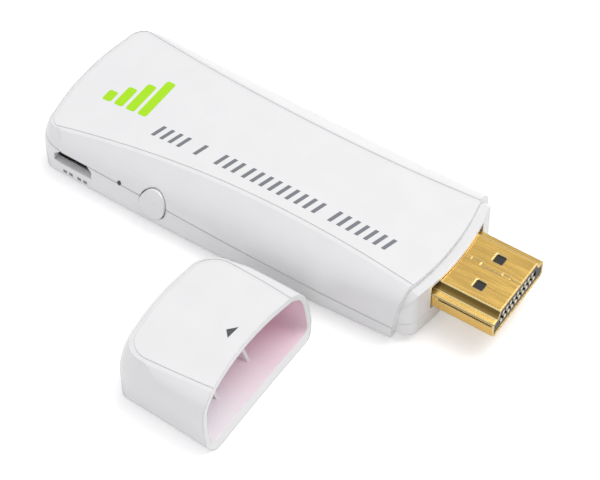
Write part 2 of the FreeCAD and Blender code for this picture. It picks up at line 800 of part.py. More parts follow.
def make_port():
    shell = prism(port_outline(-port_face, 0.0), (0, port_depth, 0))
    shell = shell.cut(prism(port_outline(-port_face - 1, -port_metal), (0, port_depth + 2, 0)))
    back = -port_face + port_depth
    base = prism(port_outline(back - port_base_depth, -port_metal), (0, port_base_depth, 0))
    width, length, thickness = port_tongue
    tongue_z = board_top + port_height / 2 - 0.05
    tongue = box(port_at - width / 2, port_at + width / 2, back - port_base_depth - length,
                 back - port_base_depth + 0.2, tongue_z, tongue_z + thickness)
    tongue = fused([base, tongue])
    strip_width, strip_length, strip_thickness = port_contact
    strips = []
    for i in range(port_contacts):
        x = port_at + (i - (port_contacts - 1) / 2) * port_contact_pitch
        front = back - port_base_depth - length + 0.3
        strips.append(box(x - strip_width / 2, x + strip_width / 2, front, front + strip_length,
                          tongue_z - strip_thickness, tongue_z))
    save("usb_shell", shell)
    save("usb_tongue", tongue)
    save("usb_contacts", *strips)


def make_card_socket():
    x0 = card_at - card_width / 2
    x1 = card_at + card_width / 2
    y1 = card_face
    y0 = card_face - card_depth
    floor = box(x0 + card_metal, x1 - card_metal, y0, y1 - card_floor_back, board_top, board_top + card_floor)
    roof = board_top + card_height - card_metal
    stop = box(x0 + card_metal, x1 - card_metal, y0, y0 + card_stop, board_top, roof)
    shell = box(x0, x1, y0, y1, board_top, board_top + card_height)
    shell = shell.cut(box(x0 + card_metal, x1 - card_metal, y0 - 1, y1 + 1, board_top - 1, roof))
    width, length, thickness = card_contact
    strips = []
    for i in range(card_contacts):
        x = card_at + (i - (card_contacts - 1) / 2) * card_contact_pitch
        strips.append(box(x - width / 2, x + width / 2, y0 + card_stop, y0 + card_stop + length,
                          board_top + card_floor, board_top + card_floor + thickness))
    save("card_socket_shell", shell)
    save("card_socket_base", fused([floor, stop]))
    save("card_contacts", *strips)


def make_button():
    reach = rod(button_diameter / 2, (button_at, -half_width_max - 1, button_height),
                (button_at, -button_seat, button_height))
    moved = body_outer.copy()
    moved.translate(Vector(0, -button_proud, 0))
    head = reach.common(moved)
    length, depth, height = stop_bar
    bar_y = -button_seat + stop_gap
    head = head.fuse(rod(button_diameter / 2, (button_at, -button_seat - 0.1, button_height),
                         (button_at, bar_y, button_height)))
    bar_low = board_top + stop_bar_lift
    bar = box(button_at - length / 2, button_at + length / 2, bar_y, bar_y + depth, bar_low,
              bar_low + height)
    stem_end = -switch_face - plunger_out
    stem = rod(button_stem_radius, (button_at, bar_y + depth - joined, button_height),
               (button_at, stem_end, button_height))
    save("power_button", fused([head, bar, stem]))

    width, depth, height = switch_size
    front = -switch_face
    switch = box(button_at - width / 2, button_at + width / 2, front, front + depth, board_top,
                 board_top + height - switch_frame_metal)
    plunger_width, plunger_height = plunger_size
    bore_end = front + plunger_buried + button_travel + plunger_room
    bore = box(button_at - plunger_width / 2 - plunger_gap, button_at + plunger_width / 2 + plunger_gap,
               front - 1, bore_end, button_height - plunger_height / 2 - plunger_gap,
               button_height + plunger_height / 2 + plunger_gap)
    plunger = box(button_at - plunger_width / 2, button_at + plunger_width / 2, stem_end,
                  front + plunger_buried, button_height - plunger_height / 2,
                  button_height + plunger_height / 2)
    frame = box(button_at - width / 2 - switch_frame_metal, button_at + width / 2 + switch_frame_metal,
                front + 0.3, front + depth - 0.2, board_top, board_top + height)
    frame = frame.cut(box(button_at - width / 2, button_at + width / 2, front - 1, front + depth + 1,
                          board_top - 1, board_top + height - switch_frame_metal))
    save("switch_body", switch.cut(bore))
    save("switch_frame", frame)
    save("switch_plunger", plunger)


def make_light():
    length, width, height = lamp_size
    save("status_lamp", box(light_at - length / 2, light_at + length / 2, -lamp_face - width / 2,
                            -lamp_face + width / 2, board_top, board_top + height))
    radius = light_diameter / 2
    pipe = rod(radius, (light_at, -half_width_max - 1, light_height), (light_at, -lamp_face, light_height))
    pipe = pipe.common(body_outer)
    collar_y = -half_width_max + shell_wall + light_collar_back
    collar = rod(light_collar / 2, (light_at, collar_y, light_height),
                 (light_at, collar_y + light_collar_length, light_height))
    foot = box(light_at - 0.5, light_at + 0.5, -lamp_face - 0.4, -lamp_face + 0.5,
               board_top + height, light_height + radius + 0.1)
    save("light_guide", fused([pipe, collar, foot]))


def make_electronics():
    save("processor", block(processor, board_top))
    x, y, height = processor[0], processor[1], processor[4]
    pad_base = board_top + height
    save("thermal_pad", block((x, y) + thermal_pad, pad_base))
    save("heat_spreader", block(heat_spreader, pad_base + thermal_pad[2]))
    save("memory_chips", *[block((x, y) + memory_size, board_top) for x, y in memory_places])
    flash_height = flash_chip[4]
    save("flash_chip", block(flash_chip, board_bottom - flash_height))
    save("wireless_board", block(wireless_board, board_top))
    save("wireless_can", block(wireless_can, board_top + wireless_board[4]))
    save("antenna", block(antenna, board_top))
    save("power_chip", block(power_chip, board_top))
    save("power_coils", *[block((x, y) + coil_size, board_top) for x, y in coil_places])
    save("crystal", block(crystal, board_top))
    capacitors = row(capacitor_row_under, capacitor_size, board_bottom - capacitor_size[2])
    for place in capacitor_rows:
        capacitors += row(place, capacitor_size, board_top)
    save("capacitors", *capacitors)
    resistors = row(resistor_row_under, resistor_size, board_bottom - resistor_size[2])
    resistors += row(resistor_row, resistor_size, board_top)
    save("resistors", *resistors)


os.makedirs("parts", exist_ok=True)
make_shells()
make_cap()
make_board()
make_plug()
make_port()
make_card_socket()
make_button()
make_light()
make_electronics()
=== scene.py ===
"""Finishes, prints and studio for a small HDMI stick computer shown with its cap off.

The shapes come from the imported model. This file gives every piece its surface,
adds the printed marks and sets up the light and the camera of the photograph.
"""

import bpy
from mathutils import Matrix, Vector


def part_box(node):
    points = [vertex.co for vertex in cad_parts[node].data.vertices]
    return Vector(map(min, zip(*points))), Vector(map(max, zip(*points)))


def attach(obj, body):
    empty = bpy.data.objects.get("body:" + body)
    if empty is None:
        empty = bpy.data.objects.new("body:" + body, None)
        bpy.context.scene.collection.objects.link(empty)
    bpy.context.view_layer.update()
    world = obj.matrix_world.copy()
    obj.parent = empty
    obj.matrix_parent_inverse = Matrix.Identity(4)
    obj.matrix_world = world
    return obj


bl_info = {
    "name": "Stick Computer Look",
    "version": (1, 0, 0),
    "blender": (4, 5, 0),
    "location": "3D View > Sidebar > Stick",
    "description": "Surfaces, printed marks and studio for a stick computer and its cap",
    "category": "Object",
}

import bmesh
import bpy
from bpy.props import FloatProperty, FloatVectorProperty, IntProperty, PointerProperty
from mathutils import Matrix, Vector
from mathutils.bvhtree import BVHTree

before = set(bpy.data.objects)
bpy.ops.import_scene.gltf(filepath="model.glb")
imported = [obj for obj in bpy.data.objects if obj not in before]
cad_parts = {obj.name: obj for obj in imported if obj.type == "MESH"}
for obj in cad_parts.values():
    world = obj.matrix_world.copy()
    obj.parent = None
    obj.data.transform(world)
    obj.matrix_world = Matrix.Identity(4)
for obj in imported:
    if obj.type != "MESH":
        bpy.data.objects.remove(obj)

MM = 0.001

# Where the printed marks lie and how large they are, in millimetres in the model's frame
SIGN_BARS = ((-26.2, 2.2), (-24.0, 4.1), (-21.8, 6.0), (-19.6, 7.9))
SIGN_FOOT = -3.6
SIGN_CORNER = 0.4
TICK_GROUPS = ((-15.2, 4), (-7.6, 1), (-3.9, 3), (1.0, 9), (16.0, 7))
TICK_FOOT = -6.1
TICK_LEAN = 0.7
ARROW_CORNERS = ((15.04, -29.79), (16.25, -28.54), (16.04, -30.89))
PORT_MARKS = (-26.0, -24.9, -23.3, -22.2)
PORT_MARK_WIDTH = 0.7
PORT_MARK_HEIGHT = 0.6
PORT_MARK_LEVEL = 2.6

# A quarter turn, in radians
QUARTER_TURN = 1.5707963

# How far from a surface the search for it starts, in metres
SEARCH_START = 0.1

# Two sets of hairlines in the gloss: the turn of each, and its waves for each metre
HAIRLINES = ((0.45, (90.0, 4200.0, 900.0)), (-1.1, (110.0, 5200.0, 1100.0)))

# Heights of the finishes' fine relief, in metres
PEEL_RELIEF = 0.0000025
DRAWN_RELIEF = 0.0000006
GRAIN_RELIEF = 0.000006
BOARD_RELIEF = 0.00001
GUIDE_RELIEF = 0.000004
INK_RELIEF = 0.000002

# Radius that the edges of dull plastic seem to have, in metres
DULL_EDGE = 0.00006

# How far smudges, drawn lines and grain change a finish's roughness
ROUGHER = 0.1
SMOOTHER = 0.06

# How strongly hairlines, clouding and the edges' wear show; rims are the painted highlight on
# the plug's edges, and rubbed edges those of dull plastic
HAIRLINE_SHARE = 0.25
CLOUD_SHARE = 0.5
WORN_SHARE = 0.7
HIGHLIGHT_SHARE = 0.9
RUBBED_SHARE = 0.35

# How bright the gloss still is in its mottle and its hairlines
MOTTLE_SHADE = 0.975
HAIRLINE_SHADE = 0.86

# The cap's cavity, in metres: its middle from the cap's closed end and above the table, and
# its roof, which rises along X
CAVITY_DEPTH = 0.0095
CAVITY_LEVEL = 0.0055
ROOF_LEVEL = 0.00916
ROOF_RISE = 0.0425
ROOF_BLUR = 0.0001

# The cavity's painted shade, tinted pink as painted light through the thin cap: how squarely a
# face has to look at the middle, how much of it is left at the mouth, and the range across the
# middle over which it deepens, in metres
LOOKS_INWARDS = (-0.0002, 0.0006)
PAINTED_SHADE_AT_MOUTH = 0.55
PAINTED_SHADE_NEAR = -0.008
PAINTED_SHADE_FAR = 0.013

# Ranges of the upward part of a normal, over which a wall starts and stops counting as
# leaning back, for its painted shade, and then as the rounded edge above such a wall, for its
# painted highlight
LEANING_STARTS = (0.2, 0.4)
LEANING_STOPS = (0.56, 0.68)
ROUNDING_STARTS = (0.66, 0.76)
ROUNDING_STOPS = (0.94, 0.985)
# How much of a leaning wall's painted shade is left at its foot
PAINTED_SHADE_AT_FOOT = 0.65

# The plug's slanted walls, as their painted shade and their foot and head in metres above the
# table, and the colour of the painted highlight on its edges
PLUG_PAINTED_SLOPES = (0.22, 0.0076, 0.0082)
PLUG_PAINTED_HIGHLIGHT = (1.0, 0.88, 0.5)

# Colours of the circuit board: solder mask, the same over copper, and bare pads
MASK_COLOUR = (0.012, 0.10, 0.045, 1.0)
COPPER_COLOUR = (0.02, 0.17, 0.07, 1.0)
PAD_COLOUR = (0.78, 0.62, 0.33, 1.0)

# Colours of the dark light guide
GUIDE_GREY = (0.2, 0.21, 0.23, 1.0)
DARKER_GUIDE_GREY = (0.14, 0.15, 0.17, 1.0)

# The floor's colour, and the glow that only the camera sees in it
FLOOR_COLOUR = (0.88, 0.88, 0.88, 1.0)
FLOOR_GLOW = 0.34

# The sky's light, and the plain white that the camera sees instead of it
SKY_COLOUR = (0.99, 0.985, 1.0, 1.0)
WHITE = (1.0, 1.0, 1.0, 1.0)

# The lamps: name, place and side in metres, and colour. Their powers are in the settings.
# They all point at the target.
LAMPS = (
    ("key", (0.16, 0.22, 0.55), 0.45, (1.0, 1.0, 0.99)),
    ("fill", (-0.48, -0.2, 0.26), 0.4, (0.95, 0.94, 1.0)),
    ("low", (0.3, -0.42, 0.08), 0.4, (1.0, 0.99, 1.0)),
)
LAMP_TARGET = (0.005, -0.01, 0.004)

# The camera fitted to the photograph: the directions of its axes, and its place in metres
CAMERA_RIGHT = (0.8307, 0.5567, -0.0067)
CAMERA_UP = (-0.4278, 0.6458, 0.6324)
CAMERA_BACK = (0.3564, -0.5224, 0.7746)
CAMERA_PLACE = (0.13299, -0.18443, 0.26748)

# The width of its sensor in millimetres, and the nearest distance that it shows in metres
SENSOR_WIDTH = 36.0
NEAREST_SEEN = 0.01


# Settings shown in the sidebar


class CasingSettings(bpy.types.PropertyGroup):
    white: FloatVectorProperty(
        name="White",
        description="Colour of the glossy casing",
        subtype="COLOR", size=3, min=0.0, max=1.0, default=(0.79, 0.79, 0.795),
    )
    # Painted shade with pink painted light, deep in the cap's cavity
    cap_painted_shade: FloatVectorProperty(
        name="Cap inside",
        description="Tint that the thin cap shows deep inside",
        subtype="COLOR", size=3, min=0.0, max=1.0, default=(0.93, 0.58, 0.7),
    )
    # The same painted shade and light, fainter at the cavity's near side
    cap_painted_shade_near: FloatVectorProperty(
        name="Cap inside, near",
        description="Fainter tint at the near side of the cavity",
        subtype="COLOR", size=3, min=0.0, max=1.0, default=(0.93, 0.87, 0.92),
    )
    peel_size: FloatProperty(
        name="Peel size",
        description="Size of the faint waves in the moulded gloss",
        unit="LENGTH", precision=5, min=0.0002, default=0.0016,
    )
    edge_radius: FloatProperty(
        name="Edge softness",
        description="Radius that moulded edges seem to have",
        unit="LENGTH", precision=5, min=0.0, default=0.00028,
    )


class PlugSettings(bpy.types.PropertyGroup):
    gold: FloatVectorProperty(
        name="Gold",
        description="Colour of the plated plug shell",
        subtype="COLOR", size=3, min=0.0, max=1.0, default=(0.83, 0.54, 0.155),
    )
    contact: FloatVectorProperty(
        name="Contacts",
        description="Colour of the plated contacts",
        subtype="COLOR", size=3, min=0.0, max=1.0, default=(0.85, 0.66, 0.34),
    )
    core: FloatVectorProperty(
        name="Core",
        description="Colour of the plug's black plastic core",
        subtype="COLOR", size=3, min=0.0, max=1.0, default=(0.012, 0.012, 0.015),
    )


class PrintSettings(bpy.types.PropertyGroup):
    green: FloatVectorProperty(
        name="Green",
        description="Colour of the printed bar sign",
        subtype="COLOR", size=3, min=0.0, max=1.0, default=(0.40, 0.78, 0.0),
    )
    grey: FloatVectorProperty(
        name="Grey",
        description="Colour of the printed ticks and the arrow",
        subtype="COLOR", size=3, min=0.0, max=1.0, default=(0.19, 0.20, 0.22),
    )
    bar_width: FloatProperty(
        name="Bar width",
        description="Width of one bar of the sign",
        unit="LENGTH", precision=5, min=0.0005, default=0.0016,
    )
    tick_height: FloatProperty(
        name="Tick height",
        description="Height of the printed ticks",
        unit="LENGTH", precision=5, min=0.0005, default=0.0024,
    )
    tick_width: FloatProperty(
        name="Tick width",
        description="Width of one printed tick",
        unit="LENGTH", precision=5, min=0.0002, default=0.00062,
    )
    tick_pitch: FloatProperty(
        name="Tick pitch",
        description="Distance from one tick to the next in a group",
        unit="LENGTH", precision=5, min=0.0005, default=0.00152,
    )
    ink: FloatProperty(
        name="Ink",
        description="How far the ink stands above the plastic",
        unit="LENGTH", precision=5, min=0.0, default=0.00002,
    )


class StudioSettings(bpy.types.PropertyGroup):
    floor_side: FloatProperty(
        name="Floor",
        description="Side of the pale floor",
        unit="LENGTH", min=0.5, default=3.0,
    )
    sky: FloatProperty(
        name="Sky",
        description="Strength of the even light from all round",
        min=0.0, default=0.62,
    )
    key: FloatProperty(
        name="Key",
        description="Power of the large lamp above",
        subtype="POWER", unit="POWER", min=0.0, default=2.2,
    )
    fill: FloatProperty(
        name="Fill",
        description="Power of the cool lamp at the rear end",
        subtype="POWER", unit="POWER", min=0.0, default=0.55,
    )
    low: FloatProperty(
        name="Low",
        description="Power of the low lamp that lifts the near side's lower part",
        subtype="POWER", unit="POWER", min=0.0, default=0.26,
    )
    lens: FloatProperty(
        name="Lens",
        description="Focal length of the camera",
        subtype="DISTANCE_CAMERA", min=10.0, default=140.27,
    )
    edge_samples: IntProperty(
        name="Edge samples",
        description="Rays that look for an edge when it is softened",
        min=2, max=16, default=4,
    )


# Helpers for node trees


def put(tree, kind, inputs=None, **settings):
    """Adds a node, sets it up and links or fills its inputs."""
    made = tree.nodes.new(kind)
    for key, value in settings.items():
        setattr(made, key, value)
    for socket, value in (inputs or {}).items():
        if isinstance(value, bpy.types.NodeSocket):
            tree.links.new(value, made.inputs[socket])
        else:
            made.inputs[socket].default_value = value
    return made


def rgba(colour):
    """A colour that covers fully, as the nodes want it."""
    return (colour[0], colour[1], colour[2], 1.0)


def darker(colour, share):
    """A share of a colour's brightness, for a node."""
    return (colour[0] * share, colour[1] * share, colour[2] * share, 1.0)


def paler(colour, gain, lift):
    """A brighter colour, for worn edges and light grains."""
    return tuple(min(1.0, value * gain + lift) for value in colour)


def new_group(name, inputs, outputs):
    """A shader group with named sockets; returns it with its input and output nodes."""
    tree = bpy.data.node_groups.new(name, "ShaderNodeTree")
    for label, kind, default in inputs:
        socket = tree.interface.new_socket(label, in_out="INPUT", socket_type=kind)
        socket.default_value = default
    for label, kind in outputs:
        tree.interface.new_socket(label, in_out="OUTPUT", socket_type=kind)
    return tree, tree.nodes.new("NodeGroupInput"), tree.nodes.new("NodeGroupOutput")


def use(tree, name, inputs=None):
    """Adds one of the shader groups made here and links or fills its inputs."""
    return put(tree, "ShaderNodeGroup", inputs, node_tree=bpy.data.node_groups[name])


def multiply(tree, a, b):
    """The product of two values."""
    return put(tree, "ShaderNodeMath", {0: a, 1: b}, operation="MULTIPLY").outputs[0]


def spread(tree, value, low, high, to_low=0.0, to_high=1.0):
    """Maps a value from one range to another, held at its ends."""
    inputs = {"Value": value, "From Min": low, "From Max": high,
              "To Min": to_low, "To Max": to_high}
    return put(tree, "ShaderNodeMapRange", inputs).outputs["Result"]


def between(tree, value, starts, stops):
    """A mask that comes up over one range of a value and goes down over another."""
    coming = spread(tree, value, starts[0], starts[1])
    going = spread(tree, value, stops[0], stops[1], 1.0, 0.0)
    return multiply(tree, coming, going)


def mixed(tree, share, a, b):
    """Colour a where the share is 0 and colour b where it is 1.

    The mix node has its colours at inputs 6 and 7, and the mixed colour at output 2.
    """
    return put(tree, "ShaderNodeMix", {0: share, 6: a, 7: b}, data_type="RGBA").outputs[2]


def new_material(name):
    """An empty material with a Principled BSDF; returns material, tree and shader."""
    material = bpy.data.materials.new(name)
    material.use_nodes = True
    tree = material.node_tree
    return material, tree, tree.nodes["Principled BSDF"]


def relief(tree, shader, height, distance, normal=None):
    """Gives the shader a fine relief, over an already softened normal if there is one."""
    inputs = {"Height": height, "Distance": distance, "Strength": 1.0}
    if normal is not None:
        inputs["Normal"] = normal
    bump = put(tree, "ShaderNodeBump", inputs)
    tree.links.new(bump.outputs["Normal"], shader.inputs["Normal"])


def make_moulding_group():
    """Waves, smudges and hairlines of a handled glossy moulding."""
    tree, given, out = new_group(
        "moulded_surface",
        [("Peel Scale", "NodeSocketFloat", 600.0), ("Smudge Scale", "NodeSocketFloat", 90.0)],
        [("Height", "NodeSocketFloat"), ("Smudge", "NodeSocketFloat"),
         ("Hairline", "NodeSocketFloat"), ("Mottle", "NodeSocketFloat")],
    )
    place = put(tree, "ShaderNodeTexCoord").outputs["Object"]
    peel = put(tree, "ShaderNodeTexNoise", {"Vector": place, "Scale": given.outputs["Peel Scale"],
                                            "Detail": 1.0, "Roughness": 0.4})
    smudge = put(tree, "ShaderNodeTexNoise",
                 {"Vector": place, "Scale": given.outputs["Smudge Scale"],
                  "Detail": 5.0, "Roughness": 0.62, "Distortion": 0.6})
    lines = []
    for turn, stretch in HAIRLINES:
        turned = put(tree, "ShaderNodeMapping", {"Vector": place, "Rotation": (0.0, 0.0, turn),
                                                 "Scale": stretch})
        streaks = put(tree, "ShaderNodeTexNoise", {"Vector": turned.outputs[0], "Scale": 1.0,
                                                   "Detail": 1.0})
        lines.append(spread(tree, streaks.outputs["Fac"], 0.7, 0.74))
    hairline = put(tree, "ShaderNodeMath", {0: lines[0], 1: lines[1]}, operation="MAXIMUM")
    patch = spread(tree, smudge.outputs["Fac"], 0.5, 0.62)
    mottle = put(tree, "ShaderNodeTexNoise", {"Vector": place, "Scale": 210.0, "Detail": 2.0})
    tree.links.new(peel.outputs["Fac"], out.inputs["Height"])
    tree.links.new(spread(tree, smudge.outputs["Fac"], 0.38, 0.66), out.inputs["Smudge"])
    tree.links.new(multiply(tree, hairline.outputs[0], patch), out.inputs["Hairline"])
    tree.links.new(mottle.outputs["Fac"], out.inputs["Mottle"])


def make_edge_group():
    """A softened normal for sharp edges, and a mask that is bright on them."""
    tree, given, out = new_group(
        "softened_edge", [("Radius", "NodeSocketFloat", 0.0001)],
        [("Normal", "NodeSocketVector"), ("Edge", "NodeSocketFloat")],
    )
    bevel = put(tree, "ShaderNodeBevel", {"Radius": given.outputs["Radius"]},
                samples=bpy.context.scene.stick_studio.edge_samples)
    plain = put(tree, "ShaderNodeNewGeometry")
    facing = put(tree, "ShaderNodeVectorMath", {0: bevel.outputs[0], 1: plain.outputs["Normal"]},
                 operation="DOT_PRODUCT")
    tree.links.new(bevel.outputs[0], out.inputs["Normal"])
    tree.links.new(spread(tree, facing.outputs["Value"], 0.995, 0.8), out.inputs["Edge"])


def make_brush_group():
    """Fine drawn lines and a slow clouding, for plated and rolled metal."""
    tree, given, out = new_group(
        "drawn_metal",
        [("Stretch", "NodeSocketVector", (120.0, 3000.0, 3000.0))],
        [("Height", "NodeSocketFloat"), ("Streak", "NodeSocketFloat"),
         ("Cloud", "NodeSocketFloat")],
    )
    place = put(tree, "ShaderNodeTexCoord").outputs["Object"]
    drawn = put(tree, "ShaderNodeVectorMath", {0: place, 1: given.outputs["Stretch"]},
                operation="MULTIPLY")
    streak = put(tree, "ShaderNodeTexNoise", {"Vector": drawn.outputs[0], "Scale": 1.0,
                                              "Detail": 3.0})
    cloud = put(tree, "ShaderNodeTexNoise", {"Vector": place, "Scale": 420.0, "Detail": 4.0,
                                             "Roughness": 0.6})
    tree.links.new(streak.outputs["Fac"], out.inputs["Height"])
    tree.links.new(spread(tree, streak.outputs["Fac"], 0.35, 0.65), out.inputs["Streak"])
    tree.links.new(spread(tree, cloud.outputs["Fac"], 0.35, 0.65), out.inputs["Cloud"])


def make_grain_group():
    """Matt grain with a few lighter grains, for dull plastic, ceramic and chips."""
    tree, given, out = new_group(
        "matt_grain", [("Grain Scale", "NodeSocketFloat", 5000.0)],
        [("Height", "NodeSocketFloat"), ("Grain", "NodeSocketFloat"),
         ("Fleck", "NodeSocketFloat")],
    )
    place = put(tree, "ShaderNodeTexCoord").outputs["Object"]
    scale = given.outputs["Grain Scale"]
    grain = put(tree, "ShaderNodeTexNoise", {"Vector": place, "Scale": scale, "Detail": 3.0})
    cells = put(tree, "ShaderNodeTexVoronoi", {"Vector": place, "Scale": scale})
    tree.links.new(grain.outputs["Fac"], out.inputs["Height"])
    tree.links.new(spread(tree, grain.outputs["Fac"], 0.3, 0.7), out.inputs["Grain"])
    tree.links.new(spread(tree, cells.outputs["Distance"], 0.16, 0.06), out.inputs["Fleck"])


# Materials


def gloss_plastic(name, colour, roughness=0.16, coat=0.35):
    """Glossy white moulding; returns what another tint can be laid over."""
    settings = bpy.context.scene.stick_casing
    material, tree, shader = new_material(name)
    surface = use(tree, "moulded_surface", {"Peel Scale": 1.0 / settings.peel_size,
                                            "Smudge Scale": 85.0})
    edge = use(tree, "softened_edge", {"Radius": settings.edge_radius})
    mottle = spread(tree, surface.outputs["Mottle"], 0.3, 0.7)
    tinted = mixed(tree, mottle, rgba(colour), darker(colour, MOTTLE_SHADE))
    hairline = multiply(tree, surface.outputs["Hairline"], HAIRLINE_SHARE)
    tinted = mixed(tree, hairline, tinted, darker(colour, HAIRLINE_SHADE))
    smudged = spread(tree, surface.outputs["Smudge"], 0.0, 1.0, roughness, roughness + ROUGHER)
    tree.links.new(tinted, shader.inputs["Base Color"])
    tree.links.new(smudged, shader.inputs["Roughness"])
    shader.inputs["Coat Weight"].default_value = coat
    shader.inputs["Coat Roughness"].default_value = 0.06
    shader.inputs["IOR"].default_value = 1.5
    relief(tree, shader, surface.outputs["Height"], PEEL_RELIEF, edge.outputs["Normal"])
    return material, tree, shader, tinted


def cap_plastic(middle, mouth):
    """The casing's plastic, with painted shade and pink painted light on faces turned towards the
    cavity, fainter at the mouth and at the near side.
    """
    settings = bpy.context.scene.stick_casing
    material, tree, shader, tinted = gloss_plastic("cap_gloss", settings.white)
    where = put(tree, "ShaderNodeTexCoord")
    inwards = put(tree, "ShaderNodeVectorMath", {0: middle, 1: where.outputs["Object"]},
                  operation="SUBTRACT")
    facing = put(tree, "ShaderNodeVectorMath",
                 {0: inwards.outputs[0], 1: where.outputs["Normal"]}, operation="DOT_PRODUCT")
    inner = spread(tree, facing.outputs["Value"], LOOKS_INWARDS[0], LOOKS_INWARDS[1])
    place = put(tree, "ShaderNodeSeparateXYZ", {"Vector": where.outputs["Object"]})
    depth = spread(tree, place.outputs["X"], mouth, middle.x, PAINTED_SHADE_AT_MOUTH, 1.0)
    rise = multiply(tree, place.outputs["X"], -ROOF_RISE)
    level = put(tree, "ShaderNodeMath", {0: place.outputs["Z"], 1: rise}, operation="ADD")
    under = spread(tree, level.outputs[0], ROOF_LEVEL + ROOF_BLUR, ROOF_LEVEL)
    share = multiply(tree, multiply(tree, inner, depth), under)
    # Painted shade: faint at the cavity's near side, deepest at its far side
    across = spread(tree, place.outputs["Y"], middle.y + PAINTED_SHADE_NEAR, middle.y + PAINTED_SHADE_FAR)
    tint = mixed(tree, across, rgba(settings.cap_painted_shade_near), rgba(settings.cap_painted_shade))
    tree.links.new(mixed(tree, share, tinted, tint), shader.inputs["Base Color"])
    return material


def slope_masks(tree, foot, head):
    """Masks for painted shade on walls that lean back by about 30 degrees, more at their head,
    and for a painted highlight on their rounded edges."""
    where = put(tree, "ShaderNodeTexCoord")
    up = put(tree, "ShaderNodeSeparateXYZ", {"Vector": where.outputs["Normal"]}).outputs["Z"]
    place = put(tree, "ShaderNodeSeparateXYZ", {"Vector": where.outputs["Object"]})
    # Painted shade, stronger towards the wall's head
    grown = spread(tree, place.outputs["Z"], foot, head, PAINTED_SHADE_AT_FOOT, 1.0)
    leaning = between(tree, up, LEANING_STARTS, LEANING_STOPS)
    rounded = between(tree, up, ROUNDING_STARTS, ROUNDING_STOPS)
    return multiply(tree, leaning, grown), rounded


def plated_metal(name, colour, roughness, stretch, edge_radius=0.00012, tarnish=0.8,
                 metallic=1.0, edge_highlight=None, painted_slopes=None):
    """Plated or rolled metal with drawn lines, clouding and rubbed bright edges.

    Given a colour of its own for the edges, the bright edges are a painted highlight in it.
    Painted slopes give the painted shade of walls that lean back, with a painted highlight on
    their rounded edges, and the heights of their foot and head.
    """
    material, tree, shader = new_material(name)
    drawn = use(tree, "drawn_metal", {"Stretch": stretch})
    edge = use(tree, "softened_edge", {"Radius": edge_radius})
    cloud = multiply(tree, drawn.outputs["Cloud"], CLOUD_SHARE)
    clouded = mixed(tree, cloud, rgba(colour), darker(colour, tarnish))
    # Given a colour of its own for the edges, the bright edges are a painted highlight; without
    # one they are rubbed edges
    bright = edge_highlight or paler(colour, 1.25, 0.06)
    edge_wear_and_highlight = multiply(tree, edge.outputs["Edge"], HIGHLIGHT_SHARE if edge_highlight else WORN_SHARE)
    wear_and_painted_light = mixed(tree, edge_wear_and_highlight, clouded, rgba(bright))
    # Painted shade on walls that lean back, and a painted highlight on their rounded edges
    if painted_slopes:
        shade, foot, head = painted_slopes
        painted_shade, rounded = slope_masks(tree, foot, head)
        wear_and_painted_light = mixed(tree, painted_shade, wear_and_painted_light, darker(colour, shade))
        wear_and_painted_light = mixed(tree, rounded, wear_and_painted_light, rgba(bright))
    streaked = spread(tree, drawn.outputs["Streak"], 0.0, 1.0, roughness, roughness + ROUGHER)
    tree.links.new(wear_and_painted_light, shader.inputs["Base Color"])
    tree.links.new(streaked, shader.inputs["Roughness"])
    shader.inputs["Metallic"].default_value = metallic
    relief(tree, shader, drawn.outputs["Height"], DRAWN_RELIEF, edge.outputs["Normal"])
    return material


def dull_plastic(name, colour, roughness=0.45, grain=4200.0, fleck=0.25):
    """Matt plastic, ceramic or chip resin with a fine grain."""
    material, tree, shader = new_material(name)
    surface = use(tree, "matt_grain", {"Grain Scale": grain})
    edge = use(tree, "softened_edge", {"Radius": DULL_EDGE})
    light = rgba(paler(colour, 1.5, 0.03))
    flecked = multiply(tree, surface.outputs["Fleck"], fleck)
    tinted = mixed(tree, flecked, rgba(colour), light)
    rubbed = multiply(tree, edge.outputs["Edge"], RUBBED_SHARE)
    tinted = mixed(tree, rubbed, tinted, light)
    grained = spread(tree, surface.outputs["Grain"], 0.0, 1.0,
                     roughness - SMOOTHER, roughness + ROUGHER)
    tree.links.new(tinted, shader.inputs["Base Color"])
    tree.links.new(grained, shader.inputs["Roughness"])
    relief(tree, shader, surface.outputs["Height"], GRAIN_RELIEF, edge.outputs["Normal"])
    return material


def board_finish():
    """Green solder mask over copper runs, with bare pads."""
    material, tree, shader = new_material("solder_mask")
    place = put(tree, "ShaderNodeTexCoord").outputs["Object"]
    runs = put(tree, "ShaderNodeTexBrick", {"Vector": place, "Scale": 420.0,
                                            "Mortar Size": 0.03})
    cells = put(tree, "ShaderNodeTexVoronoi", {"Vector": place, "Scale": 560.0})
    pad = spread(tree, cells.outputs["Distance"], 0.13, 0.1)
    surface = use(tree, "matt_grain", {"Grain Scale": 2600.0})
    mask = mixed(tree, runs.outputs["Fac"], MASK_COLOUR, COPPER_COLOUR)
    grained = spread(tree, surface.outputs["Grain"], 0.0, 1.0, 0.28, 0.42)
    height = put(tree, "ShaderNodeMath", {0: runs.outputs["Fac"], 1: surface.outputs["Height"]},
                 operation="ADD")
    tree.links.new(mixed(tree, pad, mask, PAD_COLOUR), shader.inputs["Base Color"])
    tree.links.new(pad, shader.inputs["Metallic"])
    tree.links.new(grained, shader.inputs["Roughness"])
    relief(tree, shader, height.outputs[0], BOARD_RELIEF)
    return material


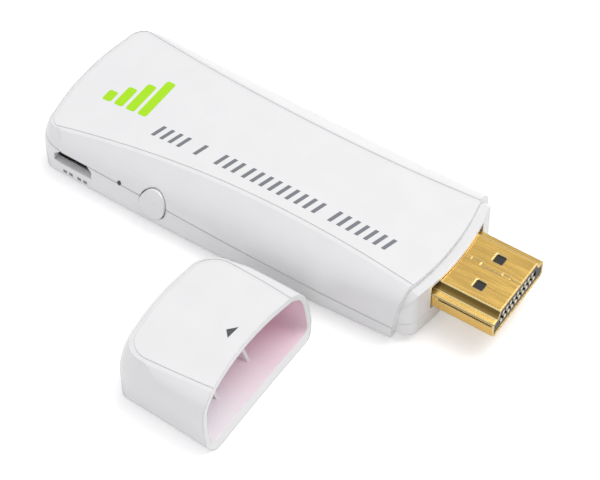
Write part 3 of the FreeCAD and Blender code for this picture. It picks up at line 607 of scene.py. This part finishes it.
def guide_finish():
    """The moulded light guide, dark grey, partly clear and a little clouded."""
    material, tree, shader = new_material("smoky_guide")
    surface = use(tree, "moulded_surface", {"Peel Scale": 1500.0, "Smudge Scale": 500.0})
    shade = mixed(tree, surface.outputs["Mottle"], GUIDE_GREY, DARKER_GUIDE_GREY)
    smudged = spread(tree, surface.outputs["Smudge"], 0.0, 1.0, 0.12, 0.3)
    tree.links.new(shade, shader.inputs["Base Color"])
    tree.links.new(smudged, shader.inputs["Roughness"])
    shader.inputs["Transmission Weight"].default_value = 0.75
    shader.inputs["IOR"].default_value = 1.49
    relief(tree, shader, surface.outputs["Height"], GUIDE_RELIEF)
    return material


def ink_finish(name, colour):
    """Screen-printed ink: flat, a little mottled, with the screen's fine relief."""
    material, tree, shader = new_material(name)
    surface = use(tree, "matt_grain", {"Grain Scale": 6500.0})
    tinted = mixed(tree, surface.outputs["Grain"], rgba(colour), darker(colour, 0.9))
    grained = spread(tree, surface.outputs["Grain"], 0.0, 1.0, 0.32, 0.46)
    tree.links.new(tinted, shader.inputs["Base Color"])
    tree.links.new(grained, shader.inputs["Roughness"])
    relief(tree, shader, surface.outputs["Height"], INK_RELIEF)
    return material


def dress(material, *nodes):
    """Gives CAD nodes their finish."""
    for name in nodes:
        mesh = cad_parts[name].data
        if not mesh.materials:
            mesh.materials.append(material)
        for index in range(len(mesh.materials)):
            mesh.materials[index] = material


# Helpers for the printed marks


def surface_of(*nodes):
    """A search tree over the surfaces of CAD nodes."""
    points = []
    faces = []
    for name in nodes:
        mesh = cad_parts[name].data
        start = len(points)
        points += [vertex.co.copy() for vertex in mesh.vertices]
        faces += [[start + index for index in face.vertices] for face in mesh.polygons]
    return BVHTree.FromPolygons(points, faces)


def add_patch(bm, x, y, width, height, corner=0.0, lean=0.0):
    """One flat patch in plan, leaning along X over its height, its corners rounded."""
    corners = bmesh.ops.create_grid(bm, x_segments=1, y_segments=1, size=0.5)["verts"]
    bmesh.ops.scale(bm, vec=(width, height, 1.0), verts=corners)
    bmesh.ops.translate(bm, vec=(x + width / 2, y + height / 2, 0.0), verts=corners)
    if lean:
        for vert in corners:
            vert.co.x += lean * (vert.co.y - y) / height
    if corner:
        bmesh.ops.bevel(bm, geom=corners, affect="VERTICES", offset=corner, segments=5,
                        profile=0.5, material=-1)


def lay_on(bm, surface, towards, ink):
    """Drops flat patches on a surface along towards, and gives them the ink's thickness."""
    for vert in bm.verts:
        point = surface.ray_cast(vert.co - SEARCH_START * towards, towards)[0]
        if point is None:
            raise RuntimeError("a printed mark misses the surface under it")
        vert.co = point - ink * towards
    bmesh.ops.solidify(bm, geom=bm.faces[:], thickness=2.0 * ink)
    bmesh.ops.recalc_face_normals(bm, faces=bm.faces[:])


def finish_piece(bm, name, material, body):
    """Makes a piece of the part from its mesh, on its body and with its slot."""
    mesh = bpy.data.meshes.new(name)
    bm.to_mesh(mesh)
    bm.free()
    mesh.materials.append(material)
    piece = bpy.data.objects.new(name, mesh)
    bpy.context.scene.collection.objects.link(piece)
    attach(piece, body)


# Operators, one for each group of pieces


class STICK_OT_casing(bpy.types.Operator):
    """Glossy white plastic on both shells, the cap and the button"""

    bl_idname = "stick.casing"
    bl_label = "Casing and cap"

    def execute(self, context):
        make_moulding_group()
        make_edge_group()
        settings = context.scene.stick_casing
        shell = gloss_plastic("casing_gloss", settings.white)[0]
        dress(shell, "top_shell", "bottom_shell")
        low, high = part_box("cap")
        # The middle of the cap's cavity, towards which its painted shade and painted light deepen
        middle = Vector((low.x + CAVITY_DEPTH, (low.y + high.y) / 2, CAVITY_LEVEL))
        dress(cap_plastic(middle, high.x), "cap")
        button = gloss_plastic("button_gloss", settings.white, roughness=0.2, coat=0.2)[0]
        dress(button, "power_button")
        return {"FINISHED"}


class STICK_OT_plug(bpy.types.Operator):
    """Gold-plated plug shell, black core and plated contacts"""

    bl_idname = "stick.plug"
    bl_label = "Plug"

    def execute(self, context):
        make_brush_group()
        make_grain_group()
        settings = context.scene.stick_plug
        # The gold shell carries a painted highlight on its edges and painted shade on its slanted
        # walls
        gold = plated_metal("gold_plate", settings.gold, roughness=0.2,
                            stretch=(150.0, 2600.0, 2600.0), edge_radius=0.0003,
                            tarnish=0.9, edge_highlight=PLUG_PAINTED_HIGHLIGHT, painted_slopes=PLUG_PAINTED_SLOPES)
        dress(gold, "hdmi_shell")
        dress(dull_plastic("plug_core", settings.core, roughness=0.38), "hdmi_insulator")
        plated = plated_metal("contact_plate", settings.contact, roughness=0.25,
                              stretch=(200.0, 3000.0, 3000.0), edge_radius=0.00005)
        dress(plated, "usb_contacts", "card_contacts")
        # A paler, less metallic copy of the contact plating, so the plug's contact ends show
        # bright: a painted highlight
        bright = plated_metal("plug_contact_plate", (0.92, 0.85, 0.68), roughness=0.3,
                              stretch=(200.0, 3000.0, 3000.0), edge_radius=0.00005,
                              metallic=0.35)
        dress(bright, "hdmi_contacts")
        return {"FINISHED"}


class STICK_OT_sockets(bpy.types.Operator):
    """Steel and black plastic of the charging port, the card socket and the switch"""

    bl_idname = "stick.sockets"
    bl_label = "Sockets and switch"

    def execute(self, context):
        steel = plated_metal("socket_steel", (0.55, 0.52, 0.5), roughness=0.3,
                             stretch=(200.0, 2400.0, 2400.0), edge_radius=0.00008)
        dress(steel, "usb_shell", "card_socket_shell", "switch_frame")
        black = dull_plastic("socket_plastic", (0.015, 0.015, 0.017), roughness=0.42)
        dress(black, "usb_tongue", "card_socket_base", "switch_body", "switch_plunger")
        return {"FINISHED"}


class STICK_OT_electronics(bpy.types.Operator):
    """Circuit board, the pieces that stand on it and the light guide"""

    bl_idname = "stick.electronics"
    bl_label = "Board and chips"

    def execute(self, context):
        dress(board_finish(), "circuit_board", "wireless_board")
        chip = dull_plastic("chip_resin", (0.022, 0.022, 0.024),
                            roughness=0.5, grain=3800.0, fleck=0.35)
        dress(chip, "processor", "memory_chips", "flash_chip", "power_chip", "power_coils",
              "resistors")
        can = plated_metal("tinned_can", (0.66, 0.66, 0.65), roughness=0.28,
                           stretch=(2200.0, 160.0, 2200.0))
        dress(can, "wireless_can", "crystal")
        plate = plated_metal("rolled_aluminium", (0.7, 0.71, 0.72), roughness=0.36,
                             stretch=(90.0, 2600.0, 2600.0))
        dress(plate, "heat_spreader")
        pad = dull_plastic("gap_pad", (0.32, 0.34, 0.37), roughness=0.8, grain=1800.0, fleck=0.5)
        dress(pad, "thermal_pad")
        pale = dull_plastic("antenna_ceramic", (0.72, 0.70, 0.66),
                            roughness=0.4, grain=5200.0, fleck=0.2)
        dress(pale, "antenna")
        tan = dull_plastic("capacitor_ceramic", (0.42, 0.30, 0.18),
                           roughness=0.4, grain=6000.0, fleck=0.4)
        dress(tan, "capacitors")
        lens = dull_plastic("lamp_body", (0.78, 0.76, 0.62),
                            roughness=0.35, grain=3000.0, fleck=0.2)
        dress(lens, "status_lamp")
        dress(guide_finish(), "light_guide")
        return {"FINISHED"}


class STICK_OT_prints(bpy.types.Operator):
    """Bar sign, tick row and the cap's arrow, all printed"""

    bl_idname = "stick.prints"
    bl_label = "Printed marks"

    def execute(self, context):
        settings = context.scene.stick_prints
        green = ink_finish("green_ink", settings.green)
        grey = ink_finish("grey_ink", settings.grey)
        down = Vector((0.0, 0.0, -1.0))
        top = surface_of("top_shell")

        bm = bmesh.new()
        for x, height in SIGN_BARS:
            add_patch(bm, x * MM, SIGN_FOOT * MM, settings.bar_width, height * MM,
                      corner=SIGN_CORNER * MM)
        lay_on(bm, top, down, settings.ink)
        finish_piece(bm, "printed_sign", green, "stick")

        bm = bmesh.new()
        for start, count in TICK_GROUPS:
            for index in range(count):
                x = start * MM + index * settings.tick_pitch
                add_patch(bm, x, TICK_FOOT * MM, settings.tick_width, settings.tick_height,
                          lean=TICK_LEAN * MM)
        lay_on(bm, top, down, settings.ink)
        finish_piece(bm, "printed_ticks", grey, "stick")

        bm = bmesh.new()
        corners = [bm.verts.new((x * MM, y * MM, 0.0)) for x, y in ARROW_CORNERS]
        bm.faces.new(corners)
        lay_on(bm, surface_of("cap"), down, settings.ink)
        finish_piece(bm, "cap_arrow", grey, "cap")
        return {"FINISHED"}


class STICK_OT_port_marks(bpy.types.Operator):
    """Small plain dashes printed under the charging port"""

    bl_idname = "stick.port_marks"
    bl_label = "Port marks"

    def execute(self, context):
        settings = context.scene.stick_prints
        bm = bmesh.new()
        for x in PORT_MARKS:
            add_patch(bm, x * MM, -PORT_MARK_HEIGHT / 2 * MM, PORT_MARK_WIDTH * MM,
                      PORT_MARK_HEIGHT * MM)
        bmesh.ops.rotate(bm, verts=bm.verts[:], cent=(0.0, 0.0, 0.0),
                         matrix=Matrix.Rotation(QUARTER_TURN, 3, "X"))
        bmesh.ops.translate(bm, verts=bm.verts[:], vec=(0.0, 0.0, PORT_MARK_LEVEL * MM))
        lay_on(bm, surface_of("bottom_shell"), Vector((0.0, 1.0, 0.0)), settings.ink)
        finish_piece(bm, "port_marks", bpy.data.materials["grey_ink"], "stick")
        return {"FINISHED"}


class STICK_OT_studio(bpy.types.Operator):
    """Pale floor, soft lamps, white surroundings and the camera"""

    bl_idname = "stick.studio"
    bl_label = "Studio"

    def add_floor(self, context):
        """A floor lit like the part, that looks a little brighter to the camera alone."""
        bm = bmesh.new()
        bmesh.ops.create_grid(bm, x_segments=4, y_segments=4,
                              size=context.scene.stick_studio.floor_side / 2)
        mesh = bpy.data.meshes.new("studio_floor")
        bm.to_mesh(mesh)
        bm.free()
        material, tree, shader = new_material("pale_floor")
        shader.inputs["Base Color"].default_value = FLOOR_COLOUR
        shader.inputs["Roughness"].default_value = 0.9
        shader.inputs["Specular IOR Level"].default_value = 0.0
        glow = put(tree, "ShaderNodeEmission", {"Color": WHITE, "Strength": FLOOR_GLOW})
        seen = put(tree, "ShaderNodeLightPath")
        nothing = put(tree, "ShaderNodeEmission", {"Strength": 0.0})
        only_seen = put(tree, "ShaderNodeMixShader",
                        {0: seen.outputs["Is Camera Ray"], 1: nothing.outputs[0],
                         2: glow.outputs[0]})
        total = put(tree, "ShaderNodeAddShader", {0: shader.outputs[0], 1: only_seen.outputs[0]})
        tree.links.new(total.outputs[0], tree.nodes["Material Output"].inputs["Surface"])
        mesh.materials.append(material)
        floor = bpy.data.objects.new("studio_floor", mesh)
        context.scene.collection.objects.link(floor)

    def add_sky(self, context):
        """An even pale sky that the camera and clear pieces show as plain white."""
        world = bpy.data.worlds.new("studio_sky")
        world.use_nodes = True
        tree = world.node_tree
        lit = tree.nodes["Background"]
        lit.inputs["Color"].default_value = SKY_COLOUR
        lit.inputs["Strength"].default_value = context.scene.stick_studio.sky
        shown = put(tree, "ShaderNodeBackground", {"Color": WHITE, "Strength": 1.0})
        seen = put(tree, "ShaderNodeLightPath")
        either = put(tree, "ShaderNodeMath",
                     {0: seen.outputs["Is Camera Ray"], 1: seen.outputs["Is Transmission Ray"]},
                     operation="MAXIMUM")
        both = put(tree, "ShaderNodeMixShader",
                   {0: either.outputs[0], 1: lit.outputs[0], 2: shown.outputs[0]})
        tree.links.new(both.outputs[0], tree.nodes["World Output"].inputs["Surface"])
        context.scene.world = world

    def add_lamp(self, context, name, place, side, power, colour):
        """A square soft lamp that points at the part."""
        data = bpy.data.lights.new(name, "AREA")
        data.shape = "SQUARE"
        data.size = side
        data.energy = power
        data.color = colour
        lamp = bpy.data.objects.new(name, data)
        lamp.location = place
        towards = Vector(LAMP_TARGET) - Vector(place)
        lamp.rotation_euler = towards.to_track_quat("-Z", "Y").to_euler()
        context.scene.collection.objects.link(lamp)

    def add_camera(self, context):
        """The camera that sees the part as the photograph does."""
        data = bpy.data.cameras.new("photo_camera")
        data.sensor_width = SENSOR_WIDTH
        data.lens = context.scene.stick_studio.lens
        data.clip_start = NEAREST_SEEN
        camera = bpy.data.objects.new("photo_camera", data)
        place = Matrix((CAMERA_RIGHT, CAMERA_UP, CAMERA_BACK)).transposed().to_4x4()
        place.translation = CAMERA_PLACE
        camera.matrix_world = place
        context.scene.collection.objects.link(camera)
        context.scene.camera = camera

    def execute(self, context):
        settings = context.scene.stick_studio
        self.add_camera(context)
        self.add_floor(context)
        self.add_sky(context)
        for name, place, side, colour in LAMPS:
            power = getattr(settings, name)
            self.add_lamp(context, name + "_lamp", place, side, power, colour)
        context.scene.view_settings.view_transform = "Standard"
        return {"FINISHED"}


class STICK_PT_panel(bpy.types.Panel):
    """Settings and steps of the stick computer's look"""

    bl_idname = "STICK_PT_panel"
    bl_label = "Stick Computer"
    bl_space_type = "VIEW_3D"
    bl_region_type = "UI"
    bl_category = "Stick"

    def draw(self, context):
        layout = self.layout
        for settings in (context.scene.stick_casing, context.scene.stick_plug,
                         context.scene.stick_prints, context.scene.stick_studio):
            box = layout.box()
            for name in settings.__annotations__:
                box.prop(settings, name)
        for operator in OPERATORS:
            layout.operator(operator.bl_idname)


SETTINGS = (
    ("stick_casing", CasingSettings),
    ("stick_plug", PlugSettings),
    ("stick_prints", PrintSettings),
    ("stick_studio", StudioSettings),
)
OPERATORS = (
    STICK_OT_casing,
    STICK_OT_plug,
    STICK_OT_sockets,
    STICK_OT_electronics,
    STICK_OT_prints,
    STICK_OT_port_marks,
    STICK_OT_studio,
)


def register():
    """Adds the settings, the operators and the panel."""
    for name, group in SETTINGS:
        bpy.utils.register_class(group)
        setattr(bpy.types.Scene, name, PointerProperty(type=group))
    for operator in OPERATORS:
        bpy.utils.register_class(operator)
    bpy.utils.register_class(STICK_PT_panel)


def unregister():
    """Takes the panel, the operators and the settings away again."""
    bpy.utils.unregister_class(STICK_PT_panel)
    for operator in reversed(OPERATORS):
        bpy.utils.unregister_class(operator)
    for name, group in reversed(SETTINGS):
        delattr(bpy.types.Scene, name)
        bpy.utils.unregister_class(group)


def main():
    """Builds the whole look in order."""
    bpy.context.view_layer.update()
    register()
    bpy.ops.stick.studio()
    bpy.ops.stick.casing()
    bpy.ops.stick.plug()
    bpy.ops.stick.sockets()
    bpy.ops.stick.electronics()
    bpy.ops.stick.prints()
    bpy.ops.stick.port_marks()


if __name__ == "__main__":
    main()
